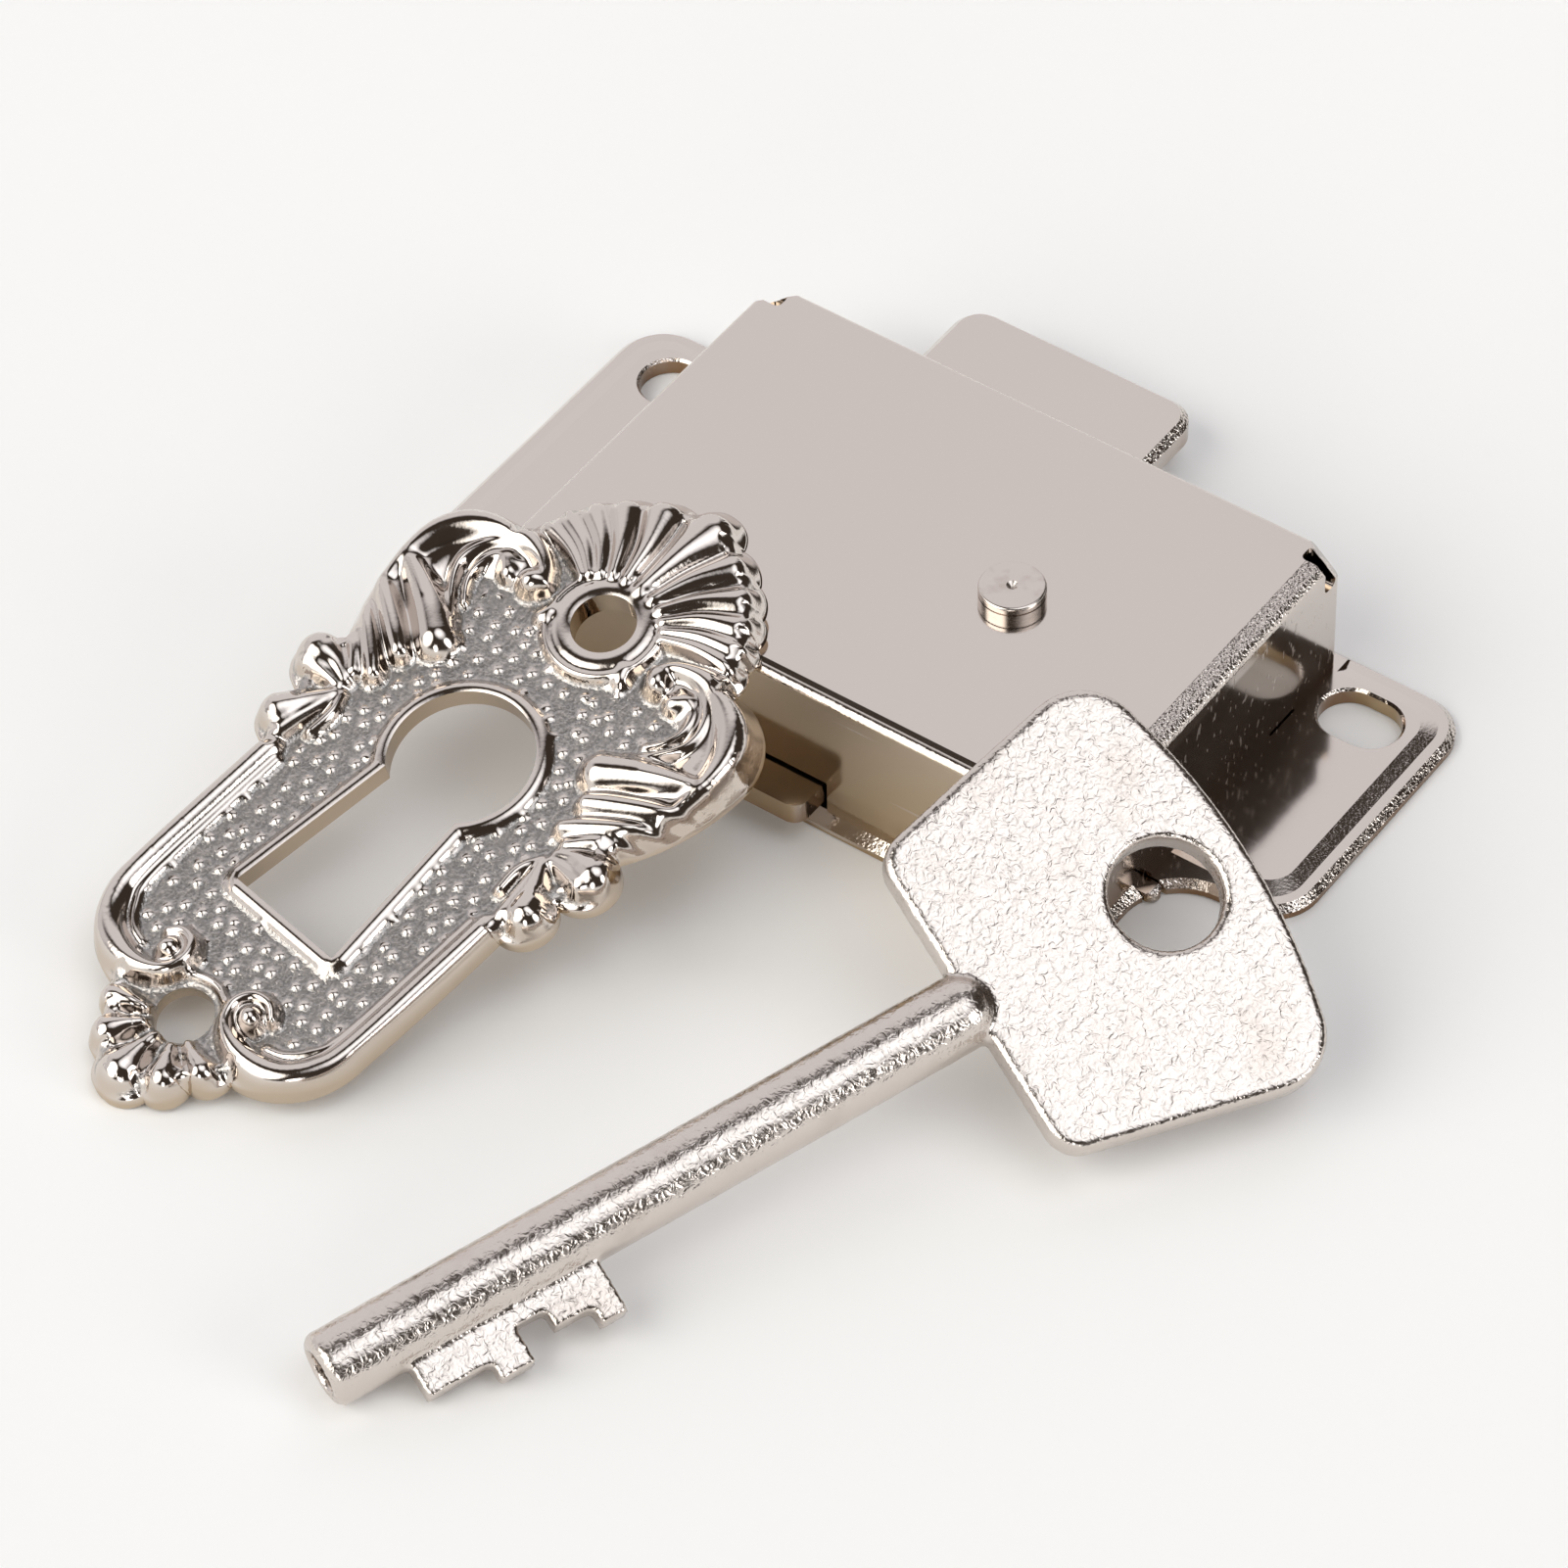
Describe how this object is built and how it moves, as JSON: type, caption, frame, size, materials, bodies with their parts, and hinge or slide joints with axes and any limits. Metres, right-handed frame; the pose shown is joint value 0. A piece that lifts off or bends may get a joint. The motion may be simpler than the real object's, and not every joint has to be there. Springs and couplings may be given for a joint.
{
  "type": "antique cabinet lock",
  "caption": "Surface-mounted lever lock in a nickel-plated folded case with a sliding bolt, shown with its loose ornamental keyhole escutcheon and its hollow key.",
  "frame": {"origin": "middle of the case on the plane that the lock is screwed against", "axes": "+X along the ears towards the drill pin's side, +Y the way the bolt points, +Z out of the mounting plane through the case's flat top"},
  "size_m": [0.0857, 0.1111, 0.0189],
  "materials": {
    "plated_sheet": "aged nickel plate on steel sheet",
    "plated_pin": "aged nickel plate on steel",
    "plated_bolt": "aged nickel plate on steel",
    "plated_casting": "nickel plate on a cast relief",
    "plated_key": "nickel plate on a cast key",
    "bare_steel": "bare steel",
    "spring_steel": "spring steel",
    "lever_brass": "aged brass sheet",
    "spacer_brass": "aged brass sheet"
  },
  "bodies": {
    "case": {"mounting_plate": "plated_sheet", "cover": "plated_sheet", "drill_pin": "plated_pin", "lever_post": "bare_steel", "lever_spacers": "spacer_brass", "spring_stop": "bare_steel"},
    "bolt": {"bolt": "plated_bolt", "bolt_stump": "bare_steel"},
    "lever_1": {"lever_1": "lever_brass", "lever_spring_1": "spring_steel"},
    "lever_2": {"lever_2": "lever_brass", "lever_spring_2": "spring_steel"},
    "lever_3": {"lever_3": "lever_brass", "lever_spring_3": "spring_steel"},
    "lever_4": {"lever_4": "lever_brass", "lever_spring_4": "spring_steel"},
    "escutcheon": {"escutcheon": "plated_casting"},
    "key": {"key": "plated_key"}
  },
  "joints": [
    {"name": "bolt_slide", "type": "slide", "parent": "case", "child": "bolt", "axis": [0, -1, 0], "range_m": [0, 0.008]},
    {"name": "lever_1_swing", "type": "hinge", "parent": "case", "child": "lever_1", "pos_m": [-0.00637, 0.0063, 0.01], "axis": [0, 0, 1], "range_deg": [0, 6]},
    {"name": "lever_2_swing", "type": "hinge", "parent": "case", "child": "lever_2", "pos_m": [-0.00637, 0.0063, 0.01], "axis": [0, 0, 1], "range_deg": [0, 6]},
    {"name": "lever_3_swing", "type": "hinge", "parent": "case", "child": "lever_3", "pos_m": [-0.00637, 0.0063, 0.01], "axis": [0, 0, 1], "range_deg": [0, 6]},
    {"name": "lever_4_swing", "type": "hinge", "parent": "case", "child": "lever_4", "pos_m": [-0.00637, 0.0063, 0.01], "axis": [0, 0, 1], "range_deg": [0, 6]},
    {"name": "escutcheon_lift", "type": "slide", "parent": "case", "child": "escutcheon", "axis": [0, 0, 1], "range_m": [0, 0.06]},
    {"name": "key_lift", "type": "slide", "parent": "case", "child": "key", "axis": [0, 0, 1], "range_m": [0, 0.06]}
  ],
  "couplings": [
    {"joint": "lever_2_swing", "follows": "lever_1_swing", "ratio": 1},
    {"joint": "lever_3_swing", "follows": "lever_1_swing", "ratio": 1},
    {"joint": "lever_4_swing", "follows": "lever_1_swing", "ratio": 1}
  ]
}
